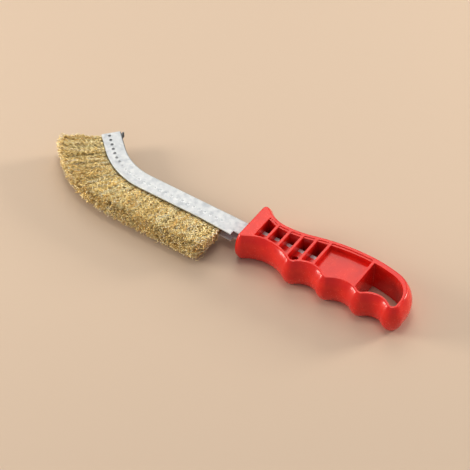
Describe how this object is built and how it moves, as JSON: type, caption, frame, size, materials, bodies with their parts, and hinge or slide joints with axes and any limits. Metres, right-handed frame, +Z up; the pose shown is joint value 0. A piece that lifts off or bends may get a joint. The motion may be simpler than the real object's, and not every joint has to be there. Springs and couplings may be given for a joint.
{
  "type": "hand wire brush",
  "caption": "Hand wire brush with a finger-grooved plastic handle, a curved sheet-steel channel and a dense fill of brass-coated crimped wire.",
  "frame": {"origin": "centre of the whole box in plan, on the table plane under the brush as it lies on its side", "axes": "+X runs along the handle from the brush head to the handle's end, +Y from the wire tips to the spine, +Z up through the thickness"},
  "size_m": [0.2786, 0.0658, 0.022],
  "materials": {
    "red_plastic": "glossy injection-moulded polypropylene",
    "galvanised_sheet": "bright galvanised sheet",
    "core_steel": "drawn steel wire",
    "brass_wire": "brass-coated crimped steel wire"
  },
  "bodies": {
    "root": {"handle": "red_plastic", "back_strip": "galvanised_sheet", "core_wire": "core_steel", "wire_bundle_01": "brass_wire", "wire_bundle_02": "brass_wire", "wire_bundle_03": "brass_wire", "wire_bundle_04": "brass_wire", "wire_bundle_05": "brass_wire", "wire_bundle_06": "brass_wire", "wire_bundle_07": "brass_wire", "wire_bundle_08": "brass_wire", "wire_bundle_09": "brass_wire", "wire_bundle_10": "brass_wire", "wire_bundle_11": "brass_wire", "wire_bundle_12": "brass_wire", "wire_bundle_13": "brass_wire", "wire_bundle_14": "brass_wire", "wire_bundle_15": "brass_wire", "wire_bundle_16": "brass_wire", "wire_bundle_17": "brass_wire", "wire_bundle_18": "brass_wire", "wire_bundle_19": "brass_wire", "wire_bundle_20": "brass_wire", "wire_bundle_21": "brass_wire", "wire_bundle_22": "brass_wire", "wire_bundle_23": "brass_wire", "wire_bundle_24": "brass_wire", "wire_bundle_25": "brass_wire", "wire_bundle_26": "brass_wire", "wire_bundle_27": "brass_wire"}
  },
  "joints": []
}
